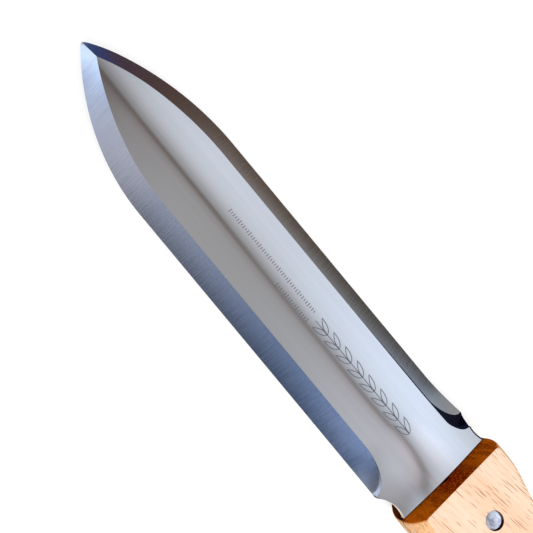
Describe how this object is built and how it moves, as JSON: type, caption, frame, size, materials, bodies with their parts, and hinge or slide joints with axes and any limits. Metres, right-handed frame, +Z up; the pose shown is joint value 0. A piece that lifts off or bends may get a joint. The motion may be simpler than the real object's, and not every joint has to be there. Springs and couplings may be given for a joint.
{
  "type": "hori hori knife",
  "caption": "Garden digging knife with a dished, double-edged steel blade and a riveted two-piece wooden handle.",
  "frame": {"origin": "centre of the handle's flat back face, on which the knife lies", "axes": "+Y from the handle to the blade's tip, +Z up out of the blade's convex side, +X to the right of both"},
  "size_m": [0.0416, 0.3115, 0.0312],
  "materials": {
    "blade_steel": "polished flats and satin ground bevels",
    "beech": "satin varnish, darker on the end grain",
    "rivet_steel": "scratched"
  },
  "bodies": {
    "root": {"blade": "blade_steel", "front_scale": "beech", "back_scale": "beech", "front_rivet_pin": "rivet_steel", "front_rivet_sleeve": "rivet_steel", "rear_rivet_pin": "rivet_steel", "rear_rivet_sleeve": "rivet_steel"}
  },
  "joints": []
}
